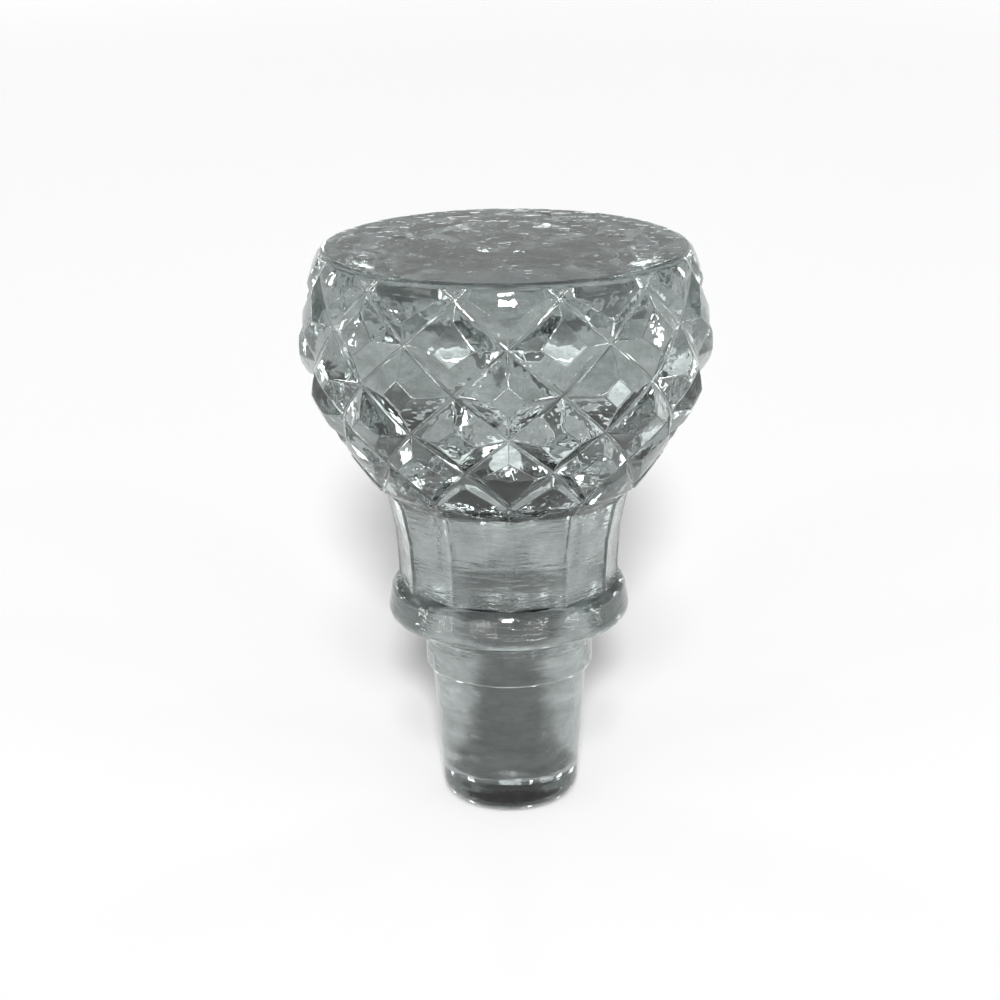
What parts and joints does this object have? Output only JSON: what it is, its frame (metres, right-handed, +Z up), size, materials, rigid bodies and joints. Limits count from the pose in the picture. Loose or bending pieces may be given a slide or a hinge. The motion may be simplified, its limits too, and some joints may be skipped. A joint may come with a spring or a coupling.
{
  "type": "glass decanter stopper",
  "caption": "Clear pressed-glass decanter stopper: flat-topped diamond-cut head, panelled neck, rounded collar and a tapered plug.",
  "frame": {"origin": "centre of the foot, the flat end of the plug", "axes": "+Z up the stopper's axis, from the foot to the flat top; the pattern repeats all the way round, with a corner of the neck's panels on +X"},
  "size_m": [0.0532, 0.0532, 0.076],
  "materials": {
    "glass": "clear pressed glass, fire-polished, with a faint grey-green tint"
  },
  "bodies": {
    "root": {"stopper": "glass"}
  },
  "joints": []
}
